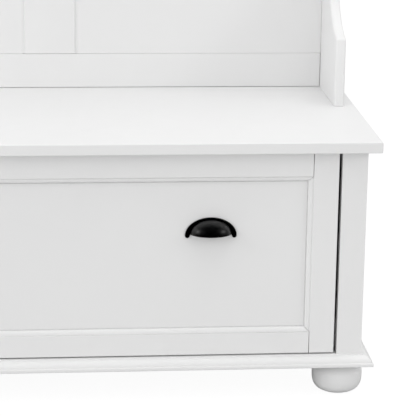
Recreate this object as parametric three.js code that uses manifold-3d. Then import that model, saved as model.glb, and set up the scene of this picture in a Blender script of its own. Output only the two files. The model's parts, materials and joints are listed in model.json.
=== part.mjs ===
// Hall tree: a storage bench with one wide drawer, and above it a panelled back with coat hooks.
// Millimetres, +Z up, front towards -Y. The origin is on the floor, under the middle of the piece.
// Inside this file Y counts back from the front edge of the bench top; the group is centred at the end.
import * as THREE from "three";
import { mergeVertices } from "three/addons/utils/BufferGeometryUtils.js";
import Module from "manifold-3d";

// ---- Driving dimensions ----------------------------------------------------------------------
const gap = 0.3; // clearance between pieces that touch
const jointGap = 0.7; // open joints that show: drawer frame, bottom rail of the back
const overallHeight = 1830;
const boardThickness = 18;
const thinPanel = 6;

// Bench
const topWidth = 1080;
const topDepth = 470;
const seatHeight = 447;
const faceSetback = 20; // face frame behind the front edge of the top
const carcassHalfWidth = 519.5;
const postWidth = 42.3;
const footHeight = 57;
const footRadius = 42.9;
const footInset = 34.8; // foot centre from the outer faces of the carcass
const rearFootClearance = 4; // rear feet stay in front of the back plane
const baseHeight = 18.8;
const baseProjection = 19;
const spacerHeight = 52;

// Drawer
const frontSideGap = 5.3; // drawer front to post
const frontTopGap = 4;
const frontBottomGap = 2.2;
const stileWidth = 41.9;
const topRailWidth = 39.3;
const bottomRailWidth = 37.6;
const stickingWidth = 8;
const stickingDepth = 8;
const frontPanelThickness = 9;
const boxBoard = 12;
const boxDepth = 360;
const boxHeight = 250;
const boxLift = 3; // box above the lower edge of the drawer front
const bottomLift = 8; // drawer bottom above the lower edge of the box

// Ball bearing slides
const slideLength = 350;
const slideThickness = 12.7;
const slideWall = 1.2;
const slideHeights = { cabinet: 45, middle: 36, drawer: 25 };
const slideLift = 24; // centre line above the lower edge of the box

// Cup pulls, on the recessed panel
const pullOffset = 261.5; // from the middle of the drawer
const pullRimHeight = 288; // lower rim above the floor
const pullHalfWidth = 43;
const pullFlangeRise = 28;
const pullFlangeThickness = 2.5;
const pullDomeHalfWidth = 34.5;
const pullDomeRise = 24.5;
const pullProjection = 26;
const pullWall = 2;
const pullEarRadius = 4;
const pullEarDrop = 3;

// Hutch
const hutchHalfWidth = 519.5; // flush with the bench case
const sideBlockDepth = 193; // wide lower and upper blocks of the side panels
const sideBlockHeight = 119.5;
const sideLedgeDepth = 8; // small slope between a block and its cove
const sideCoveRadius = 130;
const sideCoveLift = 250; // centre of a cove from the near end of the side
const sideUprightDepth = 86.5;
const backRailHeight = 63;
const hookRailHeight = 172;
const centreStileWidth = 99.4;
const panelRecess = 2;
const crownHeight = 40;
const crownProjection = 16;
const shelfOverhang = 4.5;

// Hooks
const hookCount = 4;
const hookHeight = 1700;
const plateWidth = 22;
const plateHeight = 86;
const plateThickness = 4;
const prongRadius = 4.5;
const upperBallRadius = 7.5;
const lowerBallRadius = 6.5;
const screwSpacing = 66;
const screwShankRadius = 1.8;
const screwHoleRadius = 2.3;
const screwShankLength = 16;
const screwHeadRadius = 4;

// ---- Levels and planes worked out from them --------------------------------------------------
const topUnderside = seatHeight - boardThickness;
const postInner = carcassHalfWidth - postWidth;
const endInner = carcassHalfWidth - boardThickness;
const carcassFrontBack = faceSetback + boardThickness;
const baseTop = footHeight + baseHeight;
const frontHalfWidth = postInner - frontSideGap;
const frontBottom = baseTop + frontBottomGap;
const frontTop = topUnderside - frontTopGap;
const openingHalfWidth = frontHalfWidth - stileWidth;
const openingBottom = frontBottom + bottomRailWidth;
const openingTop = frontTop - topRailWidth;
const panelFace = faceSetback + stickingDepth + gap;
const boxFront = carcassFrontBack + gap;
const boxBottom = frontBottom + boxLift;
const boxHalfWidth = postInner - slideThickness - 2 * gap;
const slideCentre = boxBottom + slideLift;
const backFace = topDepth - boardThickness;
const sideInner = hutchHalfWidth - boardThickness;
const hutchBottom = seatHeight + gap;
const hutchTop = overallHeight - boardThickness - gap;
const hookRailBottom = hutchTop - hookRailHeight;
const sideFront = topDepth - sideBlockDepth;

const sides = [["left", -1], ["right", 1]];
const X = new THREE.Vector3(1, 0, 0);
const Y = new THREE.Vector3(0, 1, 0);
const Z = new THREE.Vector3(0, 0, 1);

// ---- Materials -------------------------------------------------------------------------------
const finishes = {
  paint: { color: 0xf1f1ef, roughness: 0.45, metalness: 0 },
  drawerBoard: { color: 0xe9e7e1, roughness: 0.6, metalness: 0 },
  blackMetal: { color: 0x0c0c0c, roughness: 0.4, metalness: 0.6 },
  zinc: { color: 0xa9acb0, roughness: 0.35, metalness: 1 },
};

// ---- Solids ----------------------------------------------------------------------------------
const wasm = await Module();
wasm.setup();
const hallTree = new THREE.Group();

function add(name, finish, geometry) {
  const mesh = new THREE.Mesh(geometry, new THREE.MeshStandardMaterial(finishes[finish]));
  mesh.name = name;
  hallTree.add(mesh);
}

function block([x0, x1], [y0, y1], [z0, z1]) {
  const geometry = new THREE.BoxGeometry(x1 - x0, y1 - y0, z1 - z0);
  return geometry.translate((x0 + x1) / 2, (y0 + y1) / 2, (z0 + z1) / 2);
}

// A pair of X limits on one side of the middle, from the nearer to the farther.
function across(sign, near, far) {
  return sign > 0 ? [near, far] : [-far, -near];
}

// Turns a geometry drawn in its own x and y so that they run along two given directions.
function orient(geometry, right, up, origin) {
  const along = new THREE.Vector3().crossVectors(right, up);
  const matrix = new THREE.Matrix4().makeBasis(right, up, along).setPosition(origin);
  return geometry.applyMatrix4(matrix);
}

function toSolid(geometry) {
  const bare = geometry.clone();
  bare.deleteAttribute("normal");
  bare.deleteAttribute("uv");
  const merged = mergeVertices(bare, 1e-4);
  return new wasm.Manifold(new wasm.Mesh({
    numProp: 3,
    vertProperties: Float32Array.from(merged.attributes.position.array),
    triVerts: Uint32Array.from(merged.index.array),
  }));
}

function toGeometry(solid) {
  const { vertProperties, triVerts } = solid.getMesh();
  const geometry = new THREE.BufferGeometry();
  geometry.setAttribute("position", new THREE.BufferAttribute(vertProperties, 3));
  geometry.setIndex(new THREE.BufferAttribute(triVerts, 1));
  return geometry;
}

function join(...geometries) {
  const solids = geometries.map(toSolid);
  return toGeometry(solids.reduce((whole, piece) => whole.add(piece)));
}

function cut(geometry, ...tools) {
  const solids = tools.map(toSolid);
  return toGeometry(solids.reduce((rest, tool) => rest.subtract(tool), toSolid(geometry)));
}

// A bar of constant section [out, up]. At an end with mitre 1 it grows with the distance out, as at
// an outside corner; with -1 it shrinks, as at an inside corner; with 0 it is square.
function mitredBar(section, halfLength, mitreLow, mitreHigh) {
  const shape = new THREE.Shape(section.map(([out, up]) => new THREE.Vector2(out, up)));
  const geometry = new THREE.ExtrudeGeometry(shape, { depth: 2 * halfLength, bevelEnabled: false });
  geometry.translate(0, 0, -halfLength);
  const points = geometry.attributes.position;
  for (let i = 0; i < points.count; i += 1) {
    const along = points.getZ(i);
    const growth = points.getX(i) * (along < 0 ? -mitreLow : mitreHigh);
    points.setZ(i, along + growth);
  }
  return geometry;
}

// Points of an elliptical arc, angles in degrees.
function arcPoints([cx, cy], [rx, ry], from, to, steps) {
  return Array.from({ length: steps + 1 }, (_, i) => {
    const angle = THREE.MathUtils.degToRad(from + ((to - from) * i) / steps);
    return [cx + rx * Math.cos(angle), cy + ry * Math.sin(angle)];
  });
}

// A front length and two mitred returns, round the front and both sides of a case.
function mouldingRound(name, section, halfWidth, front, level) {
  const frontBar = mitredBar(section, halfWidth - gap, 1, 1);
  add(`${name}_front`, "paint", orient(frontBar, Y.clone().negate(), Z, new THREE.Vector3(0, front, level)));
  const halfDepth = (topDepth - front) / 2;
  for (const [side, sign] of sides) {
    const bar = sign > 0 ? mitredBar(section, halfDepth, 0, 1) : mitredBar(section, halfDepth, 1, 0);
    const origin = new THREE.Vector3(sign * halfWidth, front + halfDepth, level);
    add(`${name}_${side}`, "paint", orient(bar, X.clone().multiplyScalar(sign), Z, origin));
  }
}

// ---- Bench -----------------------------------------------------------------------------------
function addBenchCase() {
  const upright = [footHeight, topUnderside - gap];
  add("bench_top", "paint", block([-topWidth / 2, topWidth / 2], [0, topDepth], [topUnderside, seatHeight]));
  for (const [side, sign] of sides) {
    const postDepth = [faceSetback, carcassFrontBack];
    add(`front_post_${side}`, "paint", block(across(sign, postInner, carcassHalfWidth), postDepth, upright));
    const endDepth = [boxFront, topDepth];
    add(`end_panel_${side}`, "paint", block(across(sign, endInner, carcassHalfWidth), endDepth, upright));
    const spacerBottom = slideCentre - spacerHeight / 2;
    const spacer = block(
      across(sign, postInner, endInner - gap),
      [boxFront, boxFront + slideLength],
      [spacerBottom, spacerBottom + spacerHeight],
    );
    add(`slide_spacer_${side}`, "drawerBoard", spacer);
  }
  const inside = [-endInner + gap, endInner - gap];
  add("bench_back", "paint", block(inside, [topDepth - thinPanel, topDepth], upright));
  const floorPanel = block(inside, [boxFront, topDepth - thinPanel - gap], [footHeight, footHeight + 15]);
  add("bench_floor", "paint", floorPanel);
  const railWidth = [-postInner + gap, postInner - gap];
  const railDepth = [faceSetback, carcassFrontBack];
  add("front_bottom_rail", "paint", block(railWidth, railDepth, [footHeight, baseTop]));
}

// Nose at the bottom, a rounded shoulder above it, and a small fillet against the case.
function baseSection() {
  const noseHeight = 6.6;
  const shoulder = [12, 10.5];
  const crease = baseProjection - 2.5;
  return [
    [gap, 0],
    [baseProjection - 1, 0],
    [baseProjection, 1],
    [baseProjection, noseHeight - 1.2],
    [baseProjection - 1.2, noseHeight],
    ...arcPoints([crease - shoulder[0], noseHeight], shoulder, 0, 90, 7),
    [crease - shoulder[0] - 1.5, noseHeight + shoulder[1]],
    [crease - shoulder[0] - 1.5, baseHeight],
    [gap, baseHeight],
  ];
}

// Bun foot: full and flat below its widest level, drawn in above it to a short collar.
function bunFoot() {
  const widest = 34;
  const fullness = 3.3;
  const collarRadius = 32;
  const collarStart = 50;
  const bulge = [];
  const rows = 12;
  for (let i = 0; i <= rows; i += 1) {
    const level = widest * (1 - Math.cos((Math.PI * i) / (2 * rows)));
    const drop = (widest - level) / (widest + 0.6);
    bulge.push(new THREE.Vector2(footRadius * (1 - drop ** fullness) ** (1 / fullness), level));
  }
  for (const level of [39, 44, 48, collarStart]) {
    const rise = (level - widest) / 24;
    bulge.push(new THREE.Vector2(footRadius * Math.sqrt(1 - rise ** 2), level));
  }
  const top = footHeight - gap;
  const profile = [
    new THREE.Vector2(0, 0),
    ...bulge,
    new THREE.Vector2(collarRadius, collarStart + 0.8),
    new THREE.Vector2(collarRadius, top),
    new THREE.Vector2(0, top),
  ];
  return new THREE.LatheGeometry(profile, 24).rotateX(Math.PI / 2);
}

function addFeet() {
  const rows = [["front", faceSetback + footInset], ["rear", topDepth - footRadius - rearFootClearance]];
  for (const [row, depth] of rows) {
    for (const [side, sign] of sides) {
      const centre = sign * (carcassHalfWidth - footInset);
      add(`bun_foot_${row}_${side}`, "paint", bunFoot().translate(centre, depth, 0));
    }
  }
}

// ---- Drawer ----------------------------------------------------------------------------------
// Moulded edge that runs round the inside of the drawer front's frame: [into the opening, back].
// A small step, a shallow slope, and a steeper fall to the panel.
const stickingSection = [
  [-gap / 2, 0],
  [0, 0],
  [0.4, 1.4],
  [stickingWidth - 2.6, 2.5],
  [stickingWidth, 5.8],
  [stickingWidth, stickingDepth],
  [-gap / 2, stickingDepth],
];

function addDrawerFront() {
  const depth = [faceSetback, carcassFrontBack];
  const openingWidth = openingHalfWidth;
  const openingHalfHeight = (openingTop - openingBottom) / 2;
  const openingMiddle = (openingTop + openingBottom) / 2;
  const rails = [
    ["top", [openingTop, frontTop], -1],
    ["bottom", [frontBottom, openingBottom], 1],
  ];
  for (const [name, levels, inward] of rails) {
    const body = block([-openingWidth + jointGap, openingWidth - jointGap], depth, levels);
    const edge = inward < 0 ? levels[0] : levels[1];
    const strip = mitredBar(stickingSection, openingWidth - jointGap, -1, -1);
    const into = Z.clone().multiplyScalar(inward);
    orient(strip, into, Y, new THREE.Vector3(0, faceSetback, edge));
    add(`drawer_rail_${name}`, "paint", join(body, strip));
  }
  for (const [side, sign] of sides) {
    const body = block(across(sign, openingWidth, frontHalfWidth), depth, [frontBottom, frontTop]);
    const strip = mitredBar(stickingSection, openingHalfHeight - gap, -1, -1);
    const into = X.clone().multiplyScalar(-sign);
    orient(strip, into, Y, new THREE.Vector3(sign * openingWidth, faceSetback, openingMiddle));
    add(`drawer_stile_${side}`, "paint", join(body, strip));
  }
  const panel = block(
    [-openingWidth + gap, openingWidth - gap],
    [panelFace, panelFace + frontPanelThickness],
    [openingBottom + gap, openingTop - gap],
  );
  add("drawer_panel", "paint", panel);
}

function addDrawerBox() {
  const levels = [boxBottom, boxBottom + boxHeight];
  const boxInner = boxHalfWidth - boxBoard - gap;
  const boxBack = boxFront + boxDepth;
  for (const [side, sign] of sides) {
    const wall = block(across(sign, boxHalfWidth - boxBoard, boxHalfWidth), [boxFront, boxBack], levels);
    add(`drawer_side_${side}`, "drawerBoard", wall);
  }
  const bottom = boxBottom + bottomLift;
  const backWall = block([-boxInner, boxInner], [boxBack - boxBoard, boxBack], levels);
  add("drawer_back", "drawerBoard", backWall);
  const bottomDepth = [boxFront, boxBack - boxBoard - gap];
  const bottomLevels = [bottom, bottom + thinPanel];
  add("drawer_bottom", "drawerBoard", block([-boxInner, boxInner], bottomDepth, bottomLevels));
}

// ---- Slides ----------------------------------------------------------------------------------
// A channel section in [across, up], with its web at x = 0 and its flanges towards +x.
function channel(height, depth) {
  const half = height / 2;
  return [
    [0, -half],
    [depth, -half],
    [depth, -half + slideWall],
    [slideWall, -half + slideWall],
    [slideWall, half - slideWall],
    [depth, half - slideWall],
    [depth, half],
    [0, half],
  ];
}

function addSlides() {
  const middle = boxFront + slideLength / 2;
  const outerFace = postInner - gap;
  const innerFace = boxHalfWidth + gap;
  const members = [
    ["cabinet", outerFace, -1, 10],
    ["middle", outerFace - slideWall - 1.2, -1, 7.5],
    ["drawer", innerFace, 1, 7.6],
  ];
  for (const [side, sign] of sides) {
    for (const [member, web, opensOut, depth] of members) {
      const bar = mitredBar(channel(slideHeights[member], depth), slideLength / 2, 0, 0);
      const direction = X.clone().multiplyScalar(sign * opensOut);
      const origin = new THREE.Vector3(sign * web, middle, slideCentre);
      add(`slide_${member}_${side}`, "zinc", orient(bar, direction, Z, origin));
    }
  }
}

// ---- Cup pulls -------------------------------------------------------------------------------
function ellipsoid(rx, ry, rz) {
  return new THREE.SphereGeometry(1, 24, 14).scale(rx, ry, rz);
}

// Half dome, open below, on an arched flange whose two ends drop into rounded ears.
// Drawn with its rim at z = 0, the middle at x = 0 and its back at y = 0.
function cupPull() {
  const big = 2 * pullHalfWidth;
  const front = block([-big, big], [-big, -0.01], [0, big]);
  const dome = toSolid(ellipsoid(pullDomeHalfWidth, pullProjection, pullDomeRise)).intersect(toSolid(front));
  const hollow = ellipsoid(pullDomeHalfWidth - pullWall, pullProjection - pullWall, pullDomeRise - pullWall);
  const earCentre = pullHalfWidth - pullEarRadius;
  const arch = new THREE.Shape();
  arch.moveTo(pullHalfWidth, -pullEarDrop);
  arch.absellipse(0, -pullEarDrop, pullHalfWidth, pullFlangeRise + pullEarDrop, 0, Math.PI, false);
  arch.absarc(-earCentre, -pullEarDrop, pullEarRadius, Math.PI, 2 * Math.PI, false);
  arch.lineTo(-earCentre + pullEarRadius, 0);
  arch.lineTo(earCentre - pullEarRadius, 0);
  arch.absarc(earCentre, -pullEarDrop, pullEarRadius, Math.PI, 2 * Math.PI, false);
  const options = { depth: pullFlangeThickness, bevelEnabled: false, curveSegments: 16 };
  const plate = new THREE.ExtrudeGeometry(arch, options);
  orient(plate, X, Z, new THREE.Vector3(0, 0, 0));
  return toGeometry(dome.add(toSolid(plate)).subtract(toSolid(hollow)));
}

function addPulls() {
  for (const [side, sign] of sides) {
    const pull = cupPull().translate(sign * pullOffset, panelFace - gap, pullRimHeight);
    add(`cup_pull_${side}`, "blackMetal", pull);
  }
}

// ---- Hutch -----------------------------------------------------------------------------------
// Outline in [depth, height]: a wide block at each end, a cove, and a narrow upright between them.
function hutchSide() {
  const coveDepth = topDepth - sideUprightDepth - sideCoveRadius;
  const sweep = Math.acos((sideFront + sideLedgeDepth - coveDepth) / sideCoveRadius);
  const outline = new THREE.Shape();
  outline.moveTo(topDepth, hutchBottom);
  outline.lineTo(topDepth, hutchTop);
  outline.lineTo(sideFront, hutchTop);
  outline.lineTo(sideFront, hutchTop - sideBlockHeight);
  outline.absarc(coveDepth, hutchTop - sideCoveLift, sideCoveRadius, sweep, 0, true);
  outline.absarc(coveDepth, seatHeight + sideCoveLift, sideCoveRadius, 0, -sweep, true);
  outline.lineTo(sideFront, seatHeight + sideBlockHeight);
  outline.lineTo(sideFront, hutchBottom);
  const options = { depth: boardThickness, bevelEnabled: false, curveSegments: 10 };
  return orient(new THREE.ExtrudeGeometry(outline, options), Y, Z, new THREE.Vector3(0, 0, 0));
}

function hookPositions() {
  const spacing = (2 * sideInner) / hookCount;
  return Array.from({ length: hookCount }, (_, i) => (i - (hookCount - 1) / 2) * spacing);
}

function screwPositions(x) {
  return [-1, 1].map((end) => [x, hookHeight + (end * screwSpacing) / 2]);
}

function pin(radius, [from, to], x, z) {
  const geometry = new THREE.CylinderGeometry(radius, radius, to - from, 12);
  return geometry.translate(x, (from + to) / 2, z);
}

function addHutch() {
  for (const [side, sign] of sides) {
    add(`hutch_side_${side}`, "paint", hutchSide().translate(sign > 0 ? sideInner : -hutchHalfWidth, 0, 0));
  }
  const between = [-sideInner + gap, sideInner - gap];
  const betweenOpen = [-sideInner + jointGap, sideInner - jointGap];
  const rail = [backFace, topDepth];
  const railTop = seatHeight + backRailHeight;
  add("back_bottom_rail", "paint", block(betweenOpen, rail, [seatHeight + jointGap, railTop]));
  const pilots = hookPositions().flatMap(screwPositions);
  const pilotDepth = [backFace - 1, backFace + screwShankLength];
  const holes = pilots.map(([x, z]) => pin(screwHoleRadius, pilotDepth, x, z));
  add("hook_rail", "paint", cut(block(between, rail, [hookRailBottom, hutchTop]), ...holes));
  const upright = [railTop + gap, hookRailBottom - gap];
  const stile = centreStileWidth / 2;
  add("centre_stile", "paint", block([-stile, stile], rail, upright));
  const panelDepth = [backFace + panelRecess, backFace + panelRecess + thinPanel];
  for (const [side, sign] of sides) {
    add(`back_panel_${side}`, "paint", block(across(sign, stile + gap, between[1]), panelDepth, upright));
  }
  const shelfHalf = hutchHalfWidth + crownProjection + shelfOverhang;
  const shelfFront = sideFront - crownProjection - shelfOverhang;
  const shelfLevels = [overallHeight - boardThickness, overallHeight];
  add("top_shelf", "paint", block([-shelfHalf, shelfHalf], [shelfFront, topDepth], shelfLevels));
}

// Small bead at the foot, a cove that sweeps out, and a square fillet under the shelf.
function crownSection() {
  const bead = 4;
  const fillet = 6;
  const cove = [crownProjection - bead - 1.5, crownHeight - bead - fillet];
  return [
    [gap, 0],
    [bead, 0],
    [bead, bead],
    ...arcPoints([bead + cove[0], bead], cove, 180, 90, 8),
    [crownProjection, bead + cove[1]],
    [crownProjection, crownHeight],
    [gap, crownHeight],
  ];
}

// ---- Hooks -----------------------------------------------------------------------------------
// A prong is a round bar along a curve in the plane x = 0, with a ball at its tip.
function prong(points, ballRadius) {
  const path = new THREE.CubicBezierCurve3(...points.map(([y, z]) => new THREE.Vector3(0, y, z)));
  const circle = new THREE.Shape().absarc(0, 0, prongRadius, 0, 2 * Math.PI, false);
  const bar = new THREE.ExtrudeGeometry(circle, { steps: 9, extrudePath: path, curveSegments: 5 });
  const [tipY, tipZ] = points[points.length - 1];
  const ball = new THREE.SphereGeometry(ballRadius, 12, 8).translate(0, tipY, tipZ);
  return [bar, ball];
}

// Drawn with the back of its plate at y = 0 and the middle of the plate at z = 0.
function doubleHook() {
  const round = plateWidth / 2;
  const straight = plateHeight / 2 - round;
  const outline = new THREE.Shape();
  outline.absarc(0, straight, round, 0, Math.PI, false);
  outline.absarc(0, -straight, round, Math.PI, 2 * Math.PI, false);
  const options = { depth: plateThickness, bevelEnabled: false, curveSegments: 5 };
  const plate = new THREE.ExtrudeGeometry(outline, options);
  orient(plate, X, Z, new THREE.Vector3(0, 0, 0));
  const upper = prong([[-2, -4], [-42, -16], [-66, 0], [-70, 42]], upperBallRadius);
  const lower = prong([[-2, -20], [-24, -26], [-42, -44], [-40, -16]], lowerBallRadius);
  const whole = join(plate, ...upper, ...lower);
  const through = [-plateThickness - 1, 1];
  const holes = [-1, 1].map((end) => pin(screwHoleRadius, through, 0, (end * screwSpacing) / 2));
  return cut(whole, ...holes);
}

// Pan head screw along -Y, with the underside of its head at y = 0.
function screw() {
  const profile = [
    new THREE.Vector2(0, -screwShankLength),
    new THREE.Vector2(screwShankRadius, -screwShankLength),
    new THREE.Vector2(screwShankRadius, 0),
    new THREE.Vector2(screwHeadRadius, 0),
    new THREE.Vector2(screwHeadRadius, 1),
    new THREE.Vector2(2.6, 2.4),
    new THREE.Vector2(0, 2.8),
  ];
  return new THREE.LatheGeometry(profile, 12).rotateX(Math.PI);
}

function addHooks() {
  const plateBack = backFace - gap;
  const headSeat = plateBack - plateThickness - gap;
  hookPositions().forEach((x, index) => {
    add(`hook_${index + 1}`, "blackMetal", doubleHook().translate(x, plateBack, hookHeight));
    screwPositions(x).forEach(([screwX, z], end) => {
      const name = `hook_screw_${index + 1}_${end === 0 ? "lower" : "upper"}`;
      add(name, "blackMetal", screw().translate(screwX, headSeat, z));
    });
  });
}

// ---- Assembly --------------------------------------------------------------------------------
addBenchCase();
mouldingRound("base_moulding", baseSection(), carcassHalfWidth, faceSetback, footHeight);
addFeet();
addDrawerFront();
addDrawerBox();
addSlides();
addPulls();
addHutch();
mouldingRound("crown_moulding", crownSection(), hutchHalfWidth, sideFront, hutchTop - crownHeight);
addHooks();
hallTree.position.y = -topDepth / 2;

export default hallTree;
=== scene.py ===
"""Hall tree with hooks: materials, fine pieces, floor, lights and camera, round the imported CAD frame.

Metres, in the row frame: +Z up, +X to the right seen from the front, -Y towards the viewer.
"""
import json
import math

import bmesh
import bpy
from mathutils import Matrix, Vector


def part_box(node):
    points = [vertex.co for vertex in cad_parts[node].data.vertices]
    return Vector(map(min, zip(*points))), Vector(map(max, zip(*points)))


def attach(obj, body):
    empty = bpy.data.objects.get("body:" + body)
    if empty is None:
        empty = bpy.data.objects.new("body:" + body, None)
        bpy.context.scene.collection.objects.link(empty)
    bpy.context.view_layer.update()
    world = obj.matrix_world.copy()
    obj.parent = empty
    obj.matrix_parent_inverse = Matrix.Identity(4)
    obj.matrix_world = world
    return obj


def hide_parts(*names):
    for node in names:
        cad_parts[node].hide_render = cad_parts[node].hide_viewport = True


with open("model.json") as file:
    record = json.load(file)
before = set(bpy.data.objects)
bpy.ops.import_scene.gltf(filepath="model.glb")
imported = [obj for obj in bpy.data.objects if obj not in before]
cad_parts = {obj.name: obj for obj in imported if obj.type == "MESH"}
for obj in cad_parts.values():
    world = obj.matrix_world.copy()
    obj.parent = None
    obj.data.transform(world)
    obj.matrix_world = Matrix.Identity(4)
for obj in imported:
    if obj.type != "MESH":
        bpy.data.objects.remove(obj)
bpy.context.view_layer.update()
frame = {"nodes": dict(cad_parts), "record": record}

MM = 0.001
GAP = 0.3 * MM  # clearance between pieces that touch
SAME_PLACE = 0.01 * MM  # two points closer than this are one

# ---- Measures taken from the frame -------------------------------------------------------------
SEAT_LOW, SEAT_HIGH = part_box("bench_top")
SIDES = (("left", -1), ("right", 1))

# ---- Studio ------------------------------------------------------------------------------------
WORLD_LIGHT = 0.74  # soft light from all round
MIRRORED = ((0.0, 0.012), (0.33, 0.05), (0.5, 0.12), (0.65, 0.65))  # what gloss mirrors, front to back
FLOOR_BOUNCE = (0.70, 0.70, 0.70)  # how much light the floor sends back up
FLOOR_SHADOW = (0.10, 0.10, 0.10)  # how strongly a shadow on the floor shows
FLOOR_MIRRORED = (0.02, 0.02, 0.02)  # how gloss sees the floor
FLOOR_GLOW = 0.945  # lifts the floor, as the camera sees it, to near white
BLACK_LEVEL = (0.004, 0.004, 0.004)  # what shows as pure black
LIGHTS = (  # name, place, aim, size, watts, whether gloss mirrors it
    ("top", (0.5, -0.25, 3.4), (0.2, 0, 0.6), (3.2, 2.4), 38, False),
    ("left", (-2.7, -2.6, 1.3), (0.2, 0, 0.6), (1.4, 1.6), 15, False),
    ("left_glint", (-2.45, -1.2, 1.5), (0.28, -0.2, 0.3), (0.85, 0.85), 12, True),
    ("right_glint", (3.0, -1.4, 1.5), (0.28, -0.2, 0.3), (0.85, 0.85), 10, True),
)

# ---- Camera ------------------------------------------------------------------------------------
CAMERA_FROM_CORNER = Vector((-0.5439, -2.8007, 0.6765))  # from the right front corner of the seat
CAMERA_YAW = 5.256  # degrees to the right of straight ahead
CAMERA_PITCH = 15.572  # degrees down
CAMERA_ROLL = 0.817  # degrees, anticlockwise
CAMERA_LENS = 154.87  # mm
SENSOR_WIDTH = 36.0  # mm


def make_camera():
    """A long lens, placed from the right front corner of the seat."""
    data = bpy.data.cameras.new("camera")
    data.lens = CAMERA_LENS
    data.sensor_width = SENSOR_WIDTH
    camera = bpy.data.objects.new("camera", data)
    corner = Vector((SEAT_HIGH.x, SEAT_LOW.y, SEAT_HIGH.z))
    camera.location = corner + CAMERA_FROM_CORNER
    turn = Matrix.Rotation(math.radians(-CAMERA_YAW), 3, "Z")
    tilt = Matrix.Rotation(math.radians(90 - CAMERA_PITCH), 3, "X")
    roll = Matrix.Rotation(math.radians(CAMERA_ROLL), 3, "Z")
    camera.rotation_euler = (turn @ tilt @ roll).to_euler()
    bpy.context.scene.collection.objects.link(camera)
    bpy.context.scene.camera = camera


make_camera()


# ---- Material helpers --------------------------------------------------------------------------
class Nodes:
    """A material's node tree, with short calls for the nodes that the finishes share."""

    def __init__(self, name):
        self.material = bpy.data.materials.new(name)
        self.material.use_nodes = True
        self.tree = self.material.node_tree
        self.shader = self.tree.nodes["Principled BSDF"]
        self.coords = self.tree.nodes.new("ShaderNodeTexCoord").outputs["Object"]

    def stretched(self, scale):
        """Object coordinates, scaled differently along each axis."""
        mapping = self.tree.nodes.new("ShaderNodeMapping")
        mapping.inputs["Scale"].default_value = scale
        self.tree.links.new(self.coords, mapping.inputs["Vector"])
        return mapping.outputs["Vector"]

    def noise(self, scale, detail, vector=None):
        """A noise value over the piece's own space, or over a stretched one."""
        node = self.tree.nodes.new("ShaderNodeTexNoise")
        node.inputs["Scale"].default_value = scale
        node.inputs["Detail"].default_value = detail
        node.inputs["Roughness"].default_value = 0.5
        self.tree.links.new(vector or self.coords, node.inputs["Vector"])
        return node.outputs["Fac"]

    def ranged(self, value, low, high):
        """A noise value, whose usual spread is 0.3 to 0.7, spread over low to high."""
        node = self.tree.nodes.new("ShaderNodeMapRange")
        node.inputs["From Min"].default_value = 0.3
        node.inputs["From Max"].default_value = 0.7
        node.inputs["To Min"].default_value = low
        node.inputs["To Max"].default_value = high
        self.tree.links.new(value, node.inputs["Value"])
        return node.outputs["Result"]

    def mixed(self, factor, first, second):
        """A colour between two, each of them a colour or a socket."""
        node = self.tree.nodes.new("ShaderNodeMix")
        node.data_type = "RGBA"
        self.tree.links.new(factor, node.inputs["Factor"])
        for name, value in (("A", first), ("B", second)):
            if isinstance(value, bpy.types.NodeSocket):
                self.tree.links.new(value, node.inputs[name])
            else:
                node.inputs[name].default_value = (*value, 1)
        return node.outputs["Result"]

    def bump(self, height, distance, strength, below=None):
        """A normal from a height, laid over another bump if there is one."""
        node = self.tree.nodes.new("ShaderNodeBump")
        node.inputs["Distance"].default_value = distance
        node.inputs["Strength"].default_value = strength
        self.tree.links.new(height, node.inputs["Height"])
        if below is not None:
            self.tree.links.new(below, node.inputs["Normal"])
        return node.outputs["Normal"]

    def feed(self, name, value):
        """Sets the shader's own socket, or links one to it."""
        socket = self.shader.inputs[name]
        if isinstance(value, bpy.types.NodeSocket):
            self.tree.links.new(value, socket)
        else:
            socket.default_value = value


def painted_wood():
    """Sprayed satin white: faint orange peel, a slow waviness, and the smallest change of tone."""
    nodes = Nodes("white_paint")
    tone = nodes.ranged(nodes.noise(2.2, 3.0), 0.0, 1.0)
    nodes.feed("Base Color", nodes.mixed(tone, (0.835, 0.835, 0.835), (0.860, 0.860, 0.858)))
    nodes.feed("Roughness", nodes.ranged(nodes.noise(34.0, 4.0), 0.36, 0.46))
    waviness = nodes.bump(nodes.noise(9.0, 2.0), 0.6 * MM, 0.35)
    peel = nodes.bump(nodes.noise(520.0, 2.0), 0.06 * MM, 0.35, waviness)
    nodes.feed("Normal", peel)
    nodes.feed("Specular IOR Level", 0.45)
    return nodes.material


def drawer_board():
    """White melamine of the drawer box, a little warmer than the paint, with a fine emboss."""
    nodes = Nodes("drawer_board")
    grain = nodes.noise(60.0, 4.0, vector=nodes.stretched((0.3, 0.3, 5.0)))
    tone = nodes.ranged(grain, 0, 1)
    nodes.feed("Base Color", nodes.mixed(tone, (0.79, 0.785, 0.765), (0.82, 0.815, 0.80)))
    nodes.feed("Roughness", nodes.ranged(nodes.noise(25.0, 3.0), 0.48, 0.60))
    nodes.feed("Normal", nodes.bump(nodes.noise(900.0, 2.0), 0.05 * MM, 0.5))
    return nodes.material


def black_metal():
    """Black satin powder coat: a fine sandy grain, and a slightly uneven tone and sheen."""
    nodes = Nodes("black_metal")
    tone = nodes.ranged(nodes.noise(140.0, 4.0), 0, 1)
    nodes.feed("Base Color", nodes.mixed(tone, (0.0020, 0.0020, 0.0022), (0.0035, 0.0035, 0.0040)))
    nodes.feed("Roughness", nodes.ranged(nodes.noise(260.0, 3.0), 0.33, 0.39))
    nodes.feed("Specular IOR Level", 0.60)
    nodes.feed("Normal", nodes.bump(nodes.noise(1800.0, 2.0), 0.012 * MM, 0.4))
    return nodes.material


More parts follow.
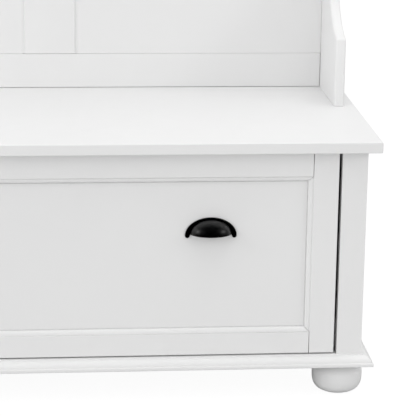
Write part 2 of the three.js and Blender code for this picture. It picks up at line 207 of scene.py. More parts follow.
def zinc_steel():
    """Rolled steel, brushed along the slide, under zinc plating."""
    nodes = Nodes("zinc_steel")
    streak = nodes.noise(220.0, 5.0, vector=nodes.stretched((6.0, 0.12, 6.0)))
    tone = nodes.ranged(streak, 0, 1)
    nodes.feed("Base Color", nodes.mixed(tone, (0.46, 0.47, 0.49), (0.66, 0.67, 0.68)))
    nodes.feed("Metallic", 0.6)
    nodes.feed("Roughness", nodes.ranged(streak, 0.26, 0.44))
    nodes.feed("Normal", nodes.bump(streak, 0.02 * MM, 0.5))
    return nodes.material


FINISHES = {
    "white_paint": painted_wood(),
    "drawer_board": drawer_board(),
    "black_metal": black_metal(),
    "zinc_steel": zinc_steel(),
}


# ---- Mesh helpers ------------------------------------------------------------------------------
def smooth_by_angle(mesh, degrees):
    """Smooth shading, with the edges sharper than this angle left crisp."""
    work = bmesh.new()
    work.from_mesh(mesh)
    limit = math.radians(degrees)
    for face in work.faces:
        face.smooth = True
    for edge in work.edges:
        edge.smooth = len(edge.link_faces) == 2 and edge.calc_face_angle(0.0) < limit
    work.to_mesh(mesh)
    work.free()


def mesh_from(name, vertices, faces):
    """A mesh whose faces all point outwards."""
    mesh = bpy.data.meshes.new(name)
    mesh.from_pydata([tuple(v) for v in vertices], [], faces)
    mesh.validate()
    work = bmesh.new()
    work.from_mesh(mesh)
    bmesh.ops.recalc_face_normals(work, faces=work.faces)
    work.to_mesh(mesh)
    work.free()
    return mesh


def add_piece(name, mesh, body, slot, replaced=()):
    """A visible piece in its finish, riding on its body, in place of the CAD nodes it stands for."""
    piece = bpy.data.objects.new(name, mesh)
    bpy.context.scene.collection.objects.link(piece)
    mesh.materials.clear()
    mesh.materials.append(FINISHES[slot])
    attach(piece, body)
    if replaced:
        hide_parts(*replaced)
    return piece


def ease(piece, width):
    """A small round on every sharp edge."""
    weld = piece.modifiers.new("weld", "WELD")
    weld.merge_threshold = SAME_PLACE
    bevel = piece.modifiers.new("ease", "BEVEL")
    bevel.width = width
    bevel.segments = 3
    bevel.limit_method = "ANGLE"
    bevel.angle_limit = math.radians(30)
    bevel.harden_normals = True


def helper(mesh):
    """An object that is there only for its modifiers."""
    thing = bpy.data.objects.new("helper", mesh)
    bpy.context.scene.collection.objects.link(thing)
    return thing


def finished(thing):
    """The mesh that a helper's modifiers make. The helper goes."""
    graph = bpy.context.evaluated_depsgraph_get()
    mesh = bpy.data.meshes.new_from_object(thing.evaluated_get(graph))
    bpy.data.objects.remove(thing)
    return mesh


def arc(centre, radii, start, end, steps):
    """Points of an elliptical arc, angles in degrees."""
    points = []
    for i in range(steps + 1):
        angle = math.radians(start + (end - start) * i / steps)
        points.append((centre[0] + radii[0] * math.cos(angle), centre[1] + radii[1] * math.sin(angle)))
    return points


def lathe(profile, segments):
    """A closed turned solid from (radius, height) points, from the bottom of its axis to the top."""
    vertices, rings = [], []
    for radius, height in profile:
        if radius < 1e-7:
            rings.append([len(vertices)])
            vertices.append((0, 0, height))
            continue
        ring = []
        for i in range(segments):
            angle = 2 * math.pi * i / segments
            ring.append(len(vertices))
            vertices.append((radius * math.cos(angle), radius * math.sin(angle), height))
        rings.append(ring)
    faces = []
    for low, high in zip(rings, rings[1:]):
        for i in range(segments):
            j = (i + 1) % segments
            quad = [low[i % len(low)], low[j % len(low)], high[j % len(high)], high[i % len(high)]]
            faces.append(list(dict.fromkeys(quad)))
    return vertices, faces


def bar(section, half_length, mitres, caps=None):
    """A bar of constant section [(out, up)], along its own z. Each end grows with out times its mitre,
    counted only where out is positive. caps lists the polygons, as section indices, that close an end."""
    count = len(section)
    vertices = []
    for sign, mitre in ((-1, mitres[0]), (1, mitres[1])):
        for out, up in section:
            vertices.append((out, up, sign * (half_length + mitre * max(out, 0.0))))
    faces = [[i, (i + 1) % count, count + (i + 1) % count, count + i] for i in range(count)]
    for cap in caps or [list(range(count))]:
        faces.append(list(reversed(cap)))
        faces.append([count + i for i in cap])
    return vertices, faces


def turned(vertices, right, up, origin):
    """Points drawn in their own x, y and z, with x and y laid along two directions."""
    right, up = Vector(right), Vector(up)
    along = right.cross(up)
    return [Vector(origin) + right * v[0] + up * v[1] + along * v[2] for v in vertices]


# ---- Boards: CAD nodes with eased edges and paint ----------------------------------------------
BOARD_EASE = {  # mm, for boards whose edges aren't the usual ones
    "bench_top": 1.6,
    "top_shelf": 1.6,
    "back_panel_left": 0.15,
    "back_panel_right": 0.15,
}
USUAL_EASE = 0.9  # mm
METAL_EASE = 0.3  # mm


def shading_nodes():
    """Geometry nodes that drop a mesh's stored normals and shade it smooth by its own shape."""
    group = bpy.data.node_groups.new("shading", "GeometryNodeTree")
    for side in ("INPUT", "OUTPUT"):
        group.interface.new_socket("Geometry", in_out=side, socket_type="NodeSocketGeometry")
    plain = group.nodes.new("GeometryNodeRemoveAttribute")
    plain.inputs["Name"].default_value = "custom_normal"
    smooth = group.nodes.new("GeometryNodeSetShadeSmooth")
    packed = group.nodes.new("NodeGroupInput").outputs["Geometry"]
    shaded = group.nodes.new("NodeGroupOutput").inputs["Geometry"]
    group.links.new(packed, plain.inputs["Geometry"])
    group.links.new(plain.outputs["Geometry"], smooth.inputs["Geometry"])
    group.links.new(smooth.outputs["Geometry"], shaded)
    return group


def dress_cad_nodes():
    """Every CAD node gets its slot's finish. Modifiers shade it and ease its edges, so its own
    vertices, faces and normals stay as they were packed."""
    slots = {row["node"]: row["material_slot"] for row in frame["record"]["subparts"]}
    shading = shading_nodes()
    for name, node in frame["nodes"].items():
        node.material_slots[0].material = FINISHES[slots[name]]
        node.modifiers.new("shading", "NODES").node_group = shading
        is_metal = slots[name] in ("black_metal", "zinc_steel")
        width = METAL_EASE if is_metal else BOARD_EASE.get(name, USUAL_EASE)
        ease(node, width * MM)


# ---- Mouldings ---------------------------------------------------------------------------------
def base_section():
    """Nose at the bottom, a rounded shoulder above a crease, and a small fillet at the case."""
    low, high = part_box("base_moulding_front")
    width = (high.y - low.y) / MM
    height = (high.z - low.z) / MM
    nose, nose_round = 6.6, 1.6
    crease, shoulder = 2.5, (12.0, 10.5)
    fillet, fillet_ease = 1.5, 0.5
    shoulder_top = width - crease - shoulder[0]
    points = [(0, 0)]
    points += arc((width - nose_round, nose_round), (nose_round, nose_round), -90, 0, 4)
    points += arc((width - nose_round, nose - nose_round), (nose_round, nose_round), 0, 90, 4)
    points += arc((shoulder_top, nose), shoulder, 0, 90, 16)
    points += [(shoulder_top - fillet, nose + shoulder[1]), (shoulder_top - fillet, height - fillet_ease)]
    points += [(shoulder_top - fillet - fillet_ease, height), (0, height)]
    return points


def crown_section():
    """Bead at the foot, a cove that sweeps out, and a square fillet under the shelf."""
    low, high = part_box("crown_moulding_front")
    width = (high.y - low.y) / MM
    height = (high.z - low.z) / MM
    bead, bead_round = 4.0, 1.5
    fillet, fillet_reach, fillet_ease = 6.0, 1.5, 0.5
    cove = (width - bead - fillet_reach, height - bead - fillet)
    points = [(0, 0)]
    points += arc((bead - bead_round, bead_round), (bead_round, bead_round), -90, 0, 4)
    points += arc((bead - bead_round, bead - bead_round), (bead_round, bead_round), 0, 60, 3)
    points += arc((bead + cove[0], bead), cove, 180, 90, 16)
    points += [(width, bead + cove[1]), (width, height - fillet_ease)]
    points += [(width - fillet_ease, height), (0, height)]
    return points


def make_moulding(prefix, section):
    """A front length and two mitred returns, each in its CAD node's place."""
    section = [(out * MM, up * MM) for out, up in section]
    low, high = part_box(f"{prefix}_front")
    reach = high.y - low.y
    half = (high.x - low.x) / 2 - reach
    rows = [(f"{prefix}_front", (0, -1, 0), Vector((0, high.y, low.z)), half, (1, 1))]
    for side, sign in SIDES:
        side_low, side_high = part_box(f"{prefix}_{side}")
        inner = side_low.x if sign > 0 else side_high.x
        half_depth = (side_high.y - side_low.y - reach) / 2
        middle = side_low.y + reach + half_depth
        mitres = (0, 1) if sign > 0 else (1, 0)
        origin = Vector((inner, middle, side_low.z))
        rows.append((f"{prefix}_{side}", (sign, 0, 0), origin, half_depth, mitres))
    for node, out, origin, half_length, mitres in rows:
        vertices, faces = bar(section, half_length, mitres)
        mesh = mesh_from(node, turned(vertices, out, (0, 0, 1), origin), faces)
        smooth_by_angle(mesh, 32)
        add_piece(f"fine_{node}", mesh, "cabinet", "white_paint", [node])


# ---- Centre stile ------------------------------------------------------------------------------
def make_centre_stile():
    """A flat board with a shallow groove along both front edges, beside the panels."""
    low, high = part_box("centre_stile")
    groove, depth, corner = 3.6 * MM, 2.4 * MM, 1.6 * MM
    edge, end_gap = 0.3 * MM, 0.35 * MM
    half = (high.x - low.x) / 2
    middle = (high.x + low.x) / 2
    right = arc((half - groove - corner, corner), (corner, corner), -90, 0, 5)
    right += [(half - groove, depth), (half - edge, depth), (half, depth + edge)]
    right += [(half, high.y - low.y)]
    outline = [(middle + x, low.y + y) for x, y in right]
    outline += [(middle - x, low.y + y) for x, y in reversed(right)]
    count = len(outline)
    vertices = [(x, y, z) for z in (low.z + end_gap, high.z - end_gap) for x, y in outline]
    faces = [list(range(count)), list(range(count, 2 * count))]
    faces += [[i, (i + 1) % count, count + (i + 1) % count, count + i] for i in range(count)]
    mesh = mesh_from("centre_stile", vertices, faces)
    smooth_by_angle(mesh, 25)
    add_piece("fine_centre_stile", mesh, "cabinet", "white_paint", ["centre_stile"])


# ---- Sides of the hutch ------------------------------------------------------------------------
SIDE_BLOCK_HEIGHT = 119.2 * MM  # the block at each end
SIDE_LEDGE_DEPTH = 8 * MM  # from the front of a block to the cove
SIDE_COVE_RADIUS = 130 * MM
SIDE_COVE_LIFT = 249.7 * MM  # centre of a cove, from the end of the side
SIDE_UPRIGHT_DEPTH = 86.5 * MM  # the narrow middle, between the coves
SIDE_CORNER = 1.5 * MM  # corner of a block, on its ledge
SIDE_ROUND = 4.2 * MM  # round of the long front edges


def side_front_line(low, high):
    """Front edge of a side in (y, z), from its foot to its top."""
    centre = high.y - SIDE_UPRIGHT_DEPTH - SIDE_COVE_RADIUS
    sweep = math.degrees(math.acos((low.y + SIDE_LEDGE_DEPTH - centre) / SIDE_COVE_RADIUS))
    radii = (SIDE_COVE_RADIUS, SIDE_COVE_RADIUS)
    block_low, block_high = low.z + SIDE_BLOCK_HEIGHT, high.z - SIDE_BLOCK_HEIGHT
    corner_in, corner_past = SIDE_CORNER * 0.7, SIDE_CORNER * 0.2
    line = [(low.y, low.z), (low.y, block_low - SIDE_CORNER)]
    line.append((low.y + corner_in, block_low + corner_past))
    line += arc((centre, low.z + SIDE_COVE_LIFT), radii, -sweep, 0, 48)
    line += arc((centre, high.z - SIDE_COVE_LIFT), radii, 0, sweep, 48)
    line.append((low.y + corner_in, block_high - corner_past))
    line += [(low.y, block_high + SIDE_CORNER), (low.y, high.z)]
    return line


def line_normals(line):
    """Outward normals of a line in (y, z), stretched at each bend so that an inset stays parallel."""
    normals = []
    for i, here in enumerate(line):
        before = line[max(i - 1, 0)]
        after = line[min(i + 1, len(line) - 1)]
        pieces = []
        for start, end in ((before, here), (here, after)):
            run = Vector((end[0] - start[0], end[1] - start[1]))
            if run.length > 1e-9:
                pieces.append(Vector((-run.y, run.x)).normalized())
        whole = sum(pieces, Vector((0, 0))).normalized()
        normals.append(whole / max(whole.dot(pieces[0]), 0.5))
    return normals


def make_hutch_sides():
    """Boards with a swept front edge, rounded along both long corners."""
    steps = 8
    back_ease = 1 * MM
    for side, _ in SIDES:
        node = f"hutch_side_{side}"
        low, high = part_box(node)
        line = side_front_line(low, high)
        half = (high.x - low.x) / 2
        middle = (low.x + high.x) / 2
        rounding = [(half - SIDE_ROUND * (1 - math.cos(a)), SIDE_ROUND * (1 - math.sin(a)))
                    for a in (math.pi / 2 * i / steps for i in range(steps + 1))]
        across = [(-x, inset) for x, inset in rounding] + [(x, inset) for x, inset in reversed(rounding)]
        vertices = []
        for (y, z), normal in zip(line, line_normals(line)):
            vertices.append((middle - half + back_ease, high.y, z))
            vertices.append((middle - half, high.y - back_ease, z))
            vertices += [(middle + x, y - normal.x * inset, z - normal.y * inset) for x, inset in across]
            vertices.append((middle + half, high.y - back_ease, z))
            vertices.append((middle + half - back_ease, high.y, z))
        count = len(across) + 4
        rings = len(line)
        faces = [list(range(count)), list(range((rings - 1) * count, rings * count))]
        for i in range(rings - 1):
            for j in range(count):
                k = (j + 1) % count
                faces.append([i * count + j, i * count + k, (i + 1) * count + k, (i + 1) * count + j])
        mesh = mesh_from(node, vertices, faces)
        for vertex in mesh.vertices:
            vertex.co.z = min(max(vertex.co.z, low.z), high.z)
        smooth_by_angle(mesh, 32)
        add_piece(f"fine_{node}", mesh, "cabinet", "white_paint", [node])


# ---- Bun feet ----------------------------------------------------------------------------------
def foot_profile(radius, height):
    """Full and flat below its widest level, drawn in above it to a short collar."""
    widest, fullness, flat = 34.0, 3.3, 0.6
    upper_half = 24.0  # half height of the ellipse above the widest level
    collar, collar_start, step, collar_ease = 32.0, 50.0, 0.8, 0.6
    profile = [(0.0, 0.0)]
    lower_rows, upper_rows = 28, 14
    for i in range(lower_rows + 1):
        level = widest * (1 - math.cos(math.pi / 2 * i / lower_rows))
        drop = (widest - level) / (widest + flat)
        profile.append((radius * (1 - drop ** fullness) ** (1 / fullness), level))
    for i in range(1, upper_rows + 1):
        level = widest + (collar_start - widest) * i / upper_rows
        profile.append((radius * math.sqrt(1 - ((level - widest) / upper_half) ** 2), level))
    profile += [(collar, collar_start + step), (collar, height - collar_ease)]
    profile += [(collar - collar_ease, height), (0.0, height)]
    return profile


def make_feet():
    """Each bun foot, turned in one piece."""
    shrink = 0.999  # keeps the turned foot inside its CAD node's box
    for node in sorted(n for n in frame["nodes"] if n.startswith("bun_foot")):
        low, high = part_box(node)
        profile = foot_profile((high.x - low.x) / 2 / MM, (high.z - low.z) / MM)
        vertices, faces = lathe([(r * MM * shrink, z * MM) for r, z in profile], 72)
        centre = Vector(((low.x + high.x) / 2, (low.y + high.y) / 2, low.z))
        mesh = mesh_from(node, [Vector(v) + centre for v in vertices], faces)
        smooth_by_angle(mesh, 40)
        add_piece(f"fine_{node}", mesh, "cabinet", "white_paint", [node])


# ---- Drawer front ------------------------------------------------------------------------------
FRAME_EASE = 1.0 * MM
QUIRK = [(0.0, 0.0), (0.25, 1.8), (0.9, 2.0), (1.4, 1.4)]  # a fine groove along the frame
FALL = [(5.0, 2.3), (5.8, 2.8), (7.8, 5.3), (8.0, 6.0), (8.0, 8.0)]  # a slope, then down to the panel
STICKING = QUIRK + FALL  # the moulded inner edge, as (out, back)


def frame_section(width, thickness):
    """Section of a rail or stile: its flat body at out <= 0, the moulded sticking beyond."""
    section = [(-width, thickness), (-width, 0.0)] + STICKING
    section += [(0.0, STICKING[-1][1]), (0.0, thickness)]
    last = len(section) - 1
    body_cap = [0, 1, 2, last - 1, last]
    sticking_cap = list(range(2, last))
    return [(out * MM, up * MM) for out, up in section], [body_cap, sticking_cap]


def make_drawer_front():
    """Rails, stiles and panel, with mitred sticking round the opening."""
    reach = STICKING[-1][0] * MM
    for name, inward in (("top", -1), ("bottom", 1)):
        node = f"drawer_rail_{name}"
        low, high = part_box(node)
        width = (high.z - low.z - reach) / MM
        section, caps = frame_section(width, (high.y - low.y) / MM)
        edge = low.z + reach if inward < 0 else high.z - reach
        vertices, faces = bar(section, (high.x - low.x) / 2, (-1, -1), caps)
        placed = turned(vertices, (0, 0, inward), (0, 1, 0), ((low.x + high.x) / 2, low.y, edge))
        mesh = mesh_from(node, placed, faces)
        smooth_by_angle(mesh, 25)
        ease_front(add_piece(f"fine_{node}", mesh, "drawer", "white_paint", [node]), low.y)
    rail_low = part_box("drawer_rail_top")[0]
    rail_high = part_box("drawer_rail_bottom")[1]
    for side, sign in SIDES:
        node = f"drawer_stile_{side}"
        low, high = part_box(node)
        width = (high.x - low.x - reach) / MM
        section, _ = frame_section(width, (high.y - low.y) / MM)
        edge = low.x + reach if sign > 0 else high.x - reach
        opening_low = rail_high.z - reach
        opening_high = rail_low.z + reach
        mesh = stile_mesh(node, section, sign, edge, low, high, opening_low, opening_high)
        ease_front(add_piece(f"fine_{node}", mesh, "drawer", "white_paint", [node]), low.y)
    make_drawer_panel(rail_high.z)


def ease_front(piece, front):
    """Eases only the edges of a frame member's front face, so that its fine sticking stays crisp."""
    mesh = piece.data
    weights = mesh.attributes.new("bevel_weight_edge", "FLOAT", "EDGE")
    for edge in mesh.edges:
        on_front = all(abs(mesh.vertices[i].co.y - front) < SAME_PLACE for i in edge.vertices)
        weights.data[edge.index].value = 1.0 if on_front and edge.use_edge_sharp else 0.0
    bevel = piece.modifiers.new("ease", "BEVEL")
    bevel.width = FRAME_EASE
    bevel.segments = 3
    bevel.limit_method = "WEIGHT"
    bevel.harden_normals = True


def make_drawer_panel(visible_low):
    """The recessed panel, with a fine groove where it meets the sticking all round. The same
    height is hidden by the rails above and below what is visible."""
    low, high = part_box("drawer_panel")
    hidden_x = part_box("drawer_stile_right")[0].x
    hidden = (high.x - hidden_x, visible_low - low.z)
    width, depth, slope = 1.1 * MM, 0.9 * MM, 0.4 * MM
    rings = [(0.0, 0.0, high.y), (0.0, 0.0, low.y), (*hidden, low.y), (*hidden, low.y + depth)]
    rings.append((hidden[0] + width, hidden[1] + width, low.y + depth))
    rings.append((hidden[0] + width + slope, hidden[1] + width + slope, low.y))
    vertices, faces = [], []
    for inset_x, inset_z, y in rings:
        for x, z in ((-1, -1), (1, -1), (1, 1), (-1, 1)):
            corner_z = high.z - inset_z if z > 0 else low.z + inset_z
            vertices.append((x * (high.x - inset_x), y, corner_z))
    for ring in range(len(rings) - 1):
        for i in range(4):
            j = (i + 1) % 4
            faces.append([4 * ring + i, 4 * ring + j, 4 * ring + 4 + j, 4 * ring + 4 + i])
    faces += [[0, 1, 2, 3], [len(vertices) - 4 + i for i in range(4)]]
    mesh = mesh_from("drawer_panel", vertices, faces)
    smooth_by_angle(mesh, 25)
    add_piece("fine_drawer_panel", mesh, "drawer", "white_paint", ["drawer_panel"])


def stile_mesh(node, section, sign, edge, low, high, opening_low, opening_high):
    """A stile: a full height body, and sticking only as tall as the opening, mitred at both ends."""
    levels = (low.z, opening_low + GAP, opening_high - GAP, high.z)
    last = len(section) - 1
    body_ring = [0, 1, 2, last - 1, last]
    vertices, rings = [], []
    for index, level in enumerate(levels):
        lean = {1: 1.0, 2: -1.0}.get(index, 0.0)
        members = range(len(section)) if lean else body_ring
        ring = {}
        for i in members:
            out, back = section[i]
            ring[i] = len(vertices)
            vertices.append((edge - sign * out, low.y + back, level + lean * max(out, 0.0)))
        rings.append(ring)
    faces = [[rings[0][i] for i in body_ring], [rings[3][i] for i in body_ring]]
    pairs = list(zip(body_ring, body_ring[1:] + body_ring[:1]))
    for lower, upper in ((0, 1), (2, 3)):
        for a, b in pairs:
            faces.append([rings[lower][a], rings[lower][b], rings[upper][b], rings[upper][a]])
    count = len(section)
    for i in range(count):
        j = (i + 1) % count
        faces.append([rings[1][i], rings[1][j], rings[2][j], rings[2][i]])
    sticking = list(range(2, last))
    faces += [[rings[1][i] for i in sticking], [rings[2][i] for i in sticking]]
    mesh = mesh_from(node, vertices, faces)
    smooth_by_angle(mesh, 25)
    return mesh


# ---- Cup pulls ---------------------------------------------------------------------------------
def pull_dome(half_width, reach, rise):
    """Outer skin of the dome: a quarter of an ellipsoid, from its lower rim up and back to the flange."""
    columns, rows = 64, 22
    end_angle = 88  # just short of the wall on both sides
    root = 0.2  # the skin's back edge, in front of the panel
    vertices, faces = [], []
    for i in range(columns + 1):
        across = math.radians(-end_angle + 2 * end_angle * i / columns)
        for j in range(rows + 1):
            lift = math.radians(90) * j / rows
            y = -reach * math.cos(across) * math.cos(lift)
            z = rise * math.cos(across) * math.sin(lift)
            vertices.append((half_width * math.sin(across), min(y, -root), z))
    for i in range(columns):
        for j in range(rows):
            a = i * (rows + 1) + j
            faces.append([a, a + 1, a + rows + 2, a + rows + 1])
    return vertices, faces


def pull_flange(half_width, rise, drop, ear, inner_half, inner_rise):
    """Outline of the arched plate behind the dome, with rounded ears at its two lower ends."""
    centre = half_width - ear
    sill = 0.4  # foot of the opening, above the dome's lower rim
    outline = arc((0, -drop), (half_width, rise + drop), 0, 180, 48)
    outline += arc((-centre, -drop), (ear, ear), 180, 360, 12)[1:]
    outline += arc((0, sill), (inner_half, inner_rise), 180, 0, 40)
    outline += arc((centre, -drop), (ear, ear), 180, 360, 12)[:-1]
    return outline


def extruded(outline, depth):
    """A flat outline in x and z, from y = 0 forward by depth."""
    count = len(outline)
    vertices = [(x, 0.0, z) for x, z in outline] + [(x, -depth, z) for x, z in outline]
    faces = [list(range(count)), list(range(2 * count - 1, count - 1, -1))]
    faces += [[i, (i + 1) % count, count + (i + 1) % count, count + i] for i in range(count)]
    return vertices, faces


def rounded(mesh, width, wall=0.0):
    """A mesh in mm, given a wall if it is a skin, with its sharp edges rounded."""
    thing = helper(mesh)
    if wall:
        thick = thing.modifiers.new("wall", "SOLIDIFY")
        thick.thickness = wall * MM
        thick.offset = -1
        thick.use_even_offset = True
    edge = thing.modifiers.new("edge", "BEVEL")
    edge.width = width * MM
    edge.segments = 3
    edge.angle_limit = math.radians(50)
    return finished(thing)


def make_pulls():
    """Each cup pull is a pressed dome on an arched flange."""
    half_dome, dome_rise, plate, wall = 34.5, 24.5, 2.5, 2.0
    ear, drop, clearance = 4.0, 3.0, 0.1
    for side, _ in SIDES:
        node = f"cup_pull_{side}"
        low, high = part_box(node)
        half_width = (high.x - low.x) / 2 / MM
        reach = (high.y - low.y) / MM
        rise = (high.z - low.z) / MM - drop - ear
        rim = low.z + (drop + ear) * MM
        origin = Vector(((low.x + high.x) / 2, high.y, rim))
        vertices, faces = pull_dome(half_dome, reach - clearance, dome_rise)
        skin = mesh_from("dome", [origin + Vector(v) * MM for v in vertices], faces)
        outline = pull_flange(half_width, rise, drop, ear, half_dome - wall, dome_rise - wall)
        vertices, faces = extruded(outline, plate)
        flange = mesh_from("flange", [origin + Vector(v) * MM for v in vertices], faces)
        whole = bmesh.new()
        whole.from_mesh(rounded(skin, 0.6, wall))
        whole.from_mesh(rounded(flange, 0.9))
        mesh = bpy.data.meshes.new(node)
        whole.to_mesh(mesh)
        whole.free()
        smooth_by_angle(mesh, 45)
        add_piece(f"fine_{node}", mesh, "drawer", "black_metal", [node])


# ---- Hooks and screws --------------------------------------------------------------------------
HOOK_PLATE_MIDDLE = 43 * MM  # above the hook's lowest point
HOOK_SCREW_SEAT = 2.8 * MM  # underside of a screw head, from the front of its CAD node
PULL_SCREW_SPREAD = 32 * MM  # from the middle of the pull
PULL_SCREW_LIFT = 20 * MM  # above the pull's lowest point
PULL_SCREW_GAP = 0.1 * MM  # between a screw head and the back of the drawer panel


def bezier(points, t):
    """A point on a cubic Bezier curve."""
    a, b, c, d = (Vector(p) for p in points)
    s = 1 - t
    return a * s**3 + b * 3 * s * s * t + c * 3 * s * t * t + d * t**3


def tapered_bar(points, start_radius, end_radius, steps=28, segments=20):
    """A round bar along a Bezier curve in the plane x = 0, closed at both ends."""
    vertices, faces = [], []
    for i in range(steps + 1):
        t = i / steps
        here = bezier(points, t)
        ahead = bezier(points, min(t + 0.01, 1)) - bezier(points, max(t - 0.01, 0))
        ahead.normalize()
        normal = Vector((0, -ahead.z, ahead.y))
        radius = start_radius + (end_radius - start_radius) * t
        for j in range(segments):
            angle = 2 * math.pi * j / segments
            sideways = Vector((math.cos(angle), 0, 0)) * radius
            vertices.append(here + sideways + normal * math.sin(angle) * radius)
    for i in range(steps):
        for j in range(segments):
            k = (j + 1) % segments
            low, high = i * segments, (i + 1) * segments
            faces.append([low + j, low + k, high + k, high + j])
    faces.append(list(range(segments)))
    faces.append([steps * segments + j for j in range(segments)])
    return vertices, faces


def ball(centre, radius, segments=24, rings=14):
    """A turned ball about its centre."""
    profile = [(0.0, -radius)]
    for i in range(1, rings):
        angle = math.pi * i / rings - math.pi / 2
        profile.append((radius * math.cos(angle), radius * math.sin(angle)))
    profile.append((0.0, radius))
    vertices, faces = lathe(profile, segments)
    return [Vector(v) + Vector(centre) for v in vertices], faces


def hook_mesh():
    """One cast hook: plate, boss, two tapered prongs and their balls, melted together."""
    work = bmesh.new()
    plate_half, plate_radius, plate_thickness, boss_radius = 32, 11, 4, 8.6
    outline = arc((0, plate_half), (plate_radius, plate_radius), 0, 180, 20)
    outline += arc((0, -plate_half), (plate_radius, plate_radius), 180, 360, 20)
    parts = [extruded([(x * MM, z * MM) for x, z in outline], plate_thickness * MM)]
    prongs = [  # curve, radius at the plate, radius at the tip, radius of the ball
        (((0, -2, -4), (0, -42, -16), (0, -66, 0), (0, -70, 42)), 5.0, 3.7, 7.4),
        (((0, -2, -20), (0, -24, -26), (0, -42, -44), (0, -40, -16)), 4.6, 3.5, 6.4),
    ]
    for points, start, end, tip in prongs:
        scaled = [Vector(p) * MM for p in points]
        parts.append(tapered_bar(scaled, start * MM, end * MM))
        parts.append(ball(scaled[-1], tip * MM))
    parts.append(ball(Vector((0, -2, -11)) * MM, boss_radius * MM))
    for vertices, faces in parts:
        work.from_mesh(mesh_from("part", vertices, faces))
    mesh = bpy.data.meshes.new("hook")
    work.to_mesh(mesh)
    work.free()
    thing = helper(mesh)
    melt = thing.modifiers.new("melt", "REMESH")
    melt.mode = "VOXEL"
    melt.voxel_size = 0.7 * MM
    soften = thing.modifiers.new("soften", "SMOOTH")
    soften.factor = 0.5
    soften.iterations = 6
    lighten = thing.modifiers.new("lighten", "DECIMATE")
    lighten.ratio = 0.35
    melted = finished(thing)
    for vertex in melted.vertices:  # nothing goes behind the plate
        vertex.co.y = min(vertex.co.y, 0.0)
    smooth_by_angle(melted, 60)
    return melted


def screw_head(radius, height):
    """Domed head with a cross recess, its underside at z = 0."""
    rim = 0.22 * height
    profile = [(0.0, 0.0), (radius, 0.0), (radius, rim)]
    profile += arc((0, rim), (radius, 0.78 * height), 12, 90, 8)[:-1] + [(0.0, height)]
    vertices, faces = lathe(profile, 32)
    head = helper(mesh_from("head", vertices, faces))
    wide, narrow, deep = radius * 0.55, radius * 0.13, height * 0.55
    taper = 0.45  # width of the recess at its bottom, as a share of its mouth
    above = height * 1.2
    tools = []
    for turn in (0, 90):
        matrix = Matrix.Rotation(math.radians(turn), 4, "Z")
        corners = [(-wide, -narrow), (wide, -narrow), (wide, narrow), (-wide, narrow)]
        low = [matrix @ Vector((x * taper, y, height - deep)) for x, y in corners]
        high = [matrix @ Vector((x, y, above)) for x, y in corners]
        faces = [[0, 3, 2, 1], [4, 5, 6, 7]]
        faces += [[i, (i + 1) % 4, 4 + (i + 1) % 4, 4 + i] for i in range(4)]
        tool = helper(mesh_from("tool", low + high, faces))
        carve = head.modifiers.new("recess", "BOOLEAN")
        carve.operation = "DIFFERENCE"
        carve.solver = "EXACT"
        carve.object = tool
        tools.append(tool)
    bpy.context.view_layer.update()
    mesh = finished(head)
    for tool in tools:
        bpy.data.objects.remove(tool)
    smooth_by_angle(mesh, 30)
    return mesh


def facing(mesh, origin, outward):
    """A copy of a mesh drawn along +z, turned to face outward along y, at its place."""
    copy = mesh.copy()
    turn = Matrix.Rotation(math.radians(90 if outward < 0 else -90), 4, "X")
    copy.transform(Matrix.Translation(origin) @ turn)
    return copy


def make_hooks():
    """The same cast hook and the same screw head in every place that the CAD gives them."""
    hook = hook_mesh()
    head = screw_head(3.9 * MM, 2.7 * MM)
    for name in sorted(n for n in frame["nodes"] if n.startswith("hook_")):
        low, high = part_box(name)
        middle = (low.x + high.x) / 2
        if name.startswith("hook_screw"):
            origin = Vector((middle, low.y + HOOK_SCREW_SEAT, (low.z + high.z) / 2))
            add_piece(f"fine_{name}", facing(head, origin, -1), "cabinet", "black_metal", [name])
        elif name != "hook_rail":
            copy = hook.copy()
            copy.transform(Matrix.Translation((middle, high.y, low.z + HOOK_PLATE_MIDDLE)))
            add_piece(f"fine_{name}", copy, "cabinet", "black_metal", [name])


def make_pull_screws():
    """The two screws that hold each cup pull, seen from inside the drawer."""
    head = screw_head(4.2 * MM, 2.4 * MM)
    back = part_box("drawer_panel")[1].y + PULL_SCREW_GAP
    for side, _ in SIDES:
        low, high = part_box(f"cup_pull_{side}")
        middle = (low.x + high.x) / 2
        for end in (-1, 1):
            origin = Vector((middle + end * PULL_SCREW_SPREAD, back, low.z + PULL_SCREW_LIFT))
            name = f"pull_screw_{side}_{'outer' if end > 0 else 'inner'}"
            add_piece(name, facing(head, origin, 1), "drawer", "zinc_steel")


# ---- Floor, lights and world -------------------------------------------------------------------
def make_floor():
    """A white floor: it lights the piece as a plain pale floor does, and shows as pure white."""
    bpy.ops.mesh.primitive_plane_add(size=60, location=(0, 0, -0.5 * MM))
    floor = bpy.context.active_object
    floor.name = "floor"
    nodes = Nodes("floor")
    rays = nodes.tree.nodes.new("ShaderNodeLightPath").outputs
    bounce = nodes.mixed(rays["Is Glossy Ray"], FLOOR_BOUNCE, FLOOR_MIRRORED)
    glow = nodes.tree.nodes.new("ShaderNodeMath")
    glow.operation = "MULTIPLY"
    glow.inputs[1].default_value = FLOOR_GLOW
    nodes.tree.links.new(rays["Is Camera Ray"], glow.inputs[0])
    nodes.feed("Base Color", nodes.mixed(rays["Is Camera Ray"], bounce, FLOOR_SHADOW))
    nodes.feed("Roughness", 0.9)
    nodes.feed("Specular IOR Level", 0.0)
    nodes.feed("Emission Color", (1, 1, 1, 1))
    nodes.feed("Emission Strength", glow.outputs["Value"])
    floor.data.materials.append(nodes.material)


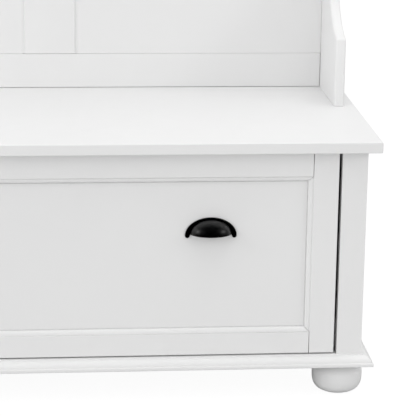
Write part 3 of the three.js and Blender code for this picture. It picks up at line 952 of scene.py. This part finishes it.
def make_lights():
    """Soft boxes, each at its place and turned to what it lights."""
    for name, place, aim, size, watts, in_gloss in LIGHTS:
        data = bpy.data.lights.new(name, "AREA")
        data.shape = "RECTANGLE"
        data.size, data.size_y = size
        data.energy = watts
        light = bpy.data.objects.new(name, data)
        light.location = place
        light.visible_glossy = in_gloss
        direction = Vector(aim) - Vector(place)
        light.rotation_euler = direction.to_track_quat("-Z", "Y").to_euler()
        bpy.context.scene.collection.objects.link(light)


def make_world():
    """Even soft light; what gloss mirrors of it is dark in front and bright behind the piece."""
    world = bpy.data.worlds.new("studio")
    world.use_nodes = True
    tree = world.node_tree
    background = tree.nodes["Background"]
    background.inputs["Color"].default_value = (1, 1, 1, 1)
    rays = tree.nodes.new("ShaderNodeLightPath").outputs
    direction = tree.nodes.new("ShaderNodeTexCoord").outputs["Generated"]
    split = tree.nodes.new("ShaderNodeSeparateXYZ")
    tree.links.new(direction, split.inputs["Vector"])
    backward = tree.nodes.new("ShaderNodeMapRange")
    backward.inputs["From Min"].default_value = -1.0
    tree.links.new(split.outputs["Y"], backward.inputs["Value"])
    mirrored = tree.nodes.new("ShaderNodeValToRGB")
    stops = mirrored.color_ramp.elements
    while len(stops) < len(MIRRORED):
        stops.new(0.5)
    for stop, (position, level) in zip(stops, MIRRORED):
        stop.position = position
        stop.color = (level, level, level, 1)
    tree.links.new(backward.outputs["Result"], mirrored.inputs["Fac"])
    in_gloss = tree.nodes.new("ShaderNodeMix")
    in_gloss.inputs["A"].default_value = WORLD_LIGHT
    tree.links.new(rays["Is Glossy Ray"], in_gloss.inputs["Factor"])
    tree.links.new(mirrored.outputs["Color"], in_gloss.inputs["B"])
    seen = tree.nodes.new("ShaderNodeMix")
    seen.inputs["B"].default_value = 1.0
    tree.links.new(rays["Is Camera Ray"], seen.inputs["Factor"])
    tree.links.new(in_gloss.outputs["Result"], seen.inputs["A"])
    tree.links.new(seen.outputs["Result"], background.inputs["Strength"])
    bpy.context.scene.world = world


def set_tones():
    """Plain tones, with the deepest shadows drawn down to black."""
    view = bpy.context.scene.view_settings
    view.view_transform = "Standard"
    view.use_curve_mapping = True
    view.curve_mapping.black_level = BLACK_LEVEL
    view.curve_mapping.update()


# ---- The scene ---------------------------------------------------------------------------------
dress_cad_nodes()
make_moulding("base_moulding", base_section())
make_moulding("crown_moulding", crown_section())
make_centre_stile()
make_hutch_sides()
make_feet()
make_drawer_front()
make_pulls()
make_hooks()
make_pull_screws()
make_floor()
make_world()
make_lights()
set_tones()
